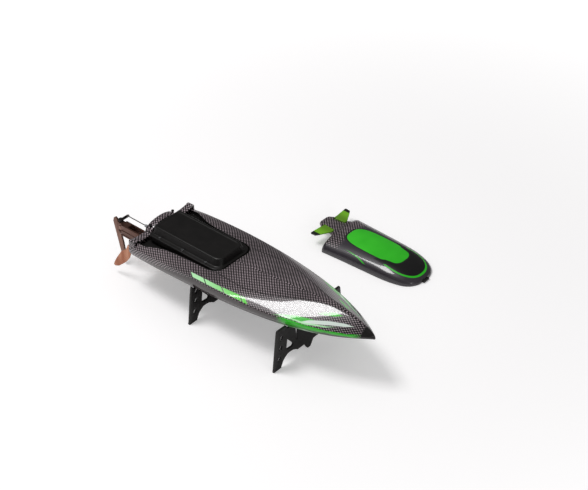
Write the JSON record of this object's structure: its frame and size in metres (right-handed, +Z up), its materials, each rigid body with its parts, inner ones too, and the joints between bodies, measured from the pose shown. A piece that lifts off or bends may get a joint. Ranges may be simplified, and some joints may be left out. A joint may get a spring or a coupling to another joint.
{
  "type": "rc boat",
  "caption": "Deep-V radio-controlled race boat on a two-frame display stand, canopy lifted off beside it, with rudder, pushrod, propeller shaft, motor and hatch cover that move",
  "frame": {"origin": "centre of the bounding box's base, on the surface that the stand and the canopy rest on", "axes": "+X towards the bow, +Y to port, where the canopy lies, +Z up"},
  "size_m": [0.5018, 0.374, 0.1081],
  "materials": {
    "stand_black": "smooth satin sheet",
    "pad": "soft foam",
    "carbon_hull": "woven carbon under clear lacquer",
    "carbon_deck": "woven carbon with green trim under clear lacquer",
    "carbon_stern": "woven carbon under clear lacquer",
    "bumper_rubber": "smooth",
    "tray_black": "satin moulding",
    "seal_rubber": "soft",
    "post_black": "smooth",
    "cover_black": "satin moulding",
    "bright_screw": "bright",
    "warm_alloy": "anodised, reflecting its warm surroundings",
    "blade_alloy": "brushed",
    "steel": "ground",
    "dark_alloy": "anodised",
    "boot_rubber": "soft bellows",
    "fin_steel": "polished",
    "brass": "drawn",
    "prop_metal": "polished",
    "servo_case": "moulded",
    "servo_horn_white": "moulded nylon",
    "plywood": "laminated, sealed",
    "motor_red": "anodised",
    "rotor_steel": "ground",
    "jacket_alloy": "turned",
    "coupler_blue": "anodised",
    "hose_blue": "silicone",
    "esc_case": "finned and anodised",
    "receiver_case": "moulded",
    "battery_wrap": "shrink wrap",
    "strap_fabric": "woven hook and loop",
    "foam_white": "closed-cell foam",
    "canopy_paint": "grey with green and black panels under lacquer",
    "canopy_carbon": "woven carbon",
    "winglet_green": "painted, black tips"
  },
  "bodies": {
    "stand": {"stand_front": "stand_black", "stand_rear": "stand_black", "stand_pads": "pad"},
    "boat": {"hull": "carbon_hull", "deck": "carbon_deck", "transom": "carbon_stern", "bow_bumper": "bumper_rubber", "hatch_well": "tray_black", "hatch_seal": "seal_rubber", "canopy_posts": "post_black", "rudder_bracket": "warm_alloy", "bracket_screws": "steel", "pushrod_boot": "boot_rubber", "servo": "servo_case", "servo_tray": "plywood", "turn_fin_starboard": "fin_steel", "turn_fin_port": "fin_steel", "fin_screws": "steel", "prop_strut": "warm_alloy", "strut_bushing": "brass", "stuffing_tube": "brass", "motor_can": "motor_red", "motor_mount": "dark_alloy", "motor_screws": "steel", "cooling_jacket": "jacket_alloy", "water_inlet": "brass", "water_outlet": "brass", "hose_in": "hose_blue", "hose_out": "hose_blue", "radio_tray": "plywood", "esc": "esc_case", "receiver": "receiver_case", "battery_tray": "plywood", "battery": "battery_wrap", "battery_strap": "strap_fabric", "foam_block": "foam_white"},
    "canopy": {"canopy_shell": "canopy_paint", "canopy_tail": "canopy_carbon", "winglet_port": "winglet_green", "winglet_starboard": "winglet_green", "canopy_tongue": "post_black"},
    "hatch": {"hatch_cover": "cover_black", "hatch_screws": "bright_screw"},
    "rudder": {"rudder_blade": "blade_alloy", "rudder_pin": "steel", "tiller_arm": "dark_alloy"},
    "pushrod": {"pushrod": "steel"},
    "servo_arm": {"servo_horn": "servo_horn_white"},
    "drive": {"prop_shaft": "steel", "propeller": "prop_metal", "prop_nut": "steel", "drive_dog": "steel", "shaft_coupler": "coupler_blue", "motor_rotor": "rotor_steel"}
  },
  "joints": [
    {"name": "boat_lift", "type": "slide", "parent": "stand", "child": "boat", "axis": [0, 0, 1], "range_m": [0, 0.12]},
    {"name": "canopy_lift", "type": "slide", "parent": "stand", "child": "canopy", "axis": [0, 0, 1], "range_m": [0, 0.12]},
    {"name": "hatch_lift", "type": "slide", "parent": "boat", "child": "hatch", "axis": [0, 0, 1], "range_m": [0, 0.06]},
    {"name": "rudder_turn", "type": "hinge", "parent": "boat", "child": "rudder", "pos_m": [-0.2344, -0.1415, 0.072], "axis": [0, 0, 1], "range_deg": [-30, 30]},
    {"name": "pushrod_slide", "type": "slide", "parent": "boat", "child": "pushrod", "axis": [1, 0, 0], "range_m": [-0.0074, 0.0074]},
    {"name": "servo_turn", "type": "hinge", "parent": "boat", "child": "servo_arm", "pos_m": [-0.1444, -0.1155, 0.085], "axis": [0, 0, 1], "range_deg": [-30.5, 30.5]},
    {"name": "propeller_spin", "type": "hinge", "parent": "boat", "child": "drive", "pos_m": [-0.2224, -0.1065, 0.024], "axis": [0.9848, 0, 0.1736], "continuous": true}
  ],
  "couplings": [
    {"joint": "pushrod_slide", "follows": "rudder_turn", "m_per_rad": -0.01365},
    {"joint": "servo_turn", "follows": "rudder_turn", "ratio": -1}
  ]
}
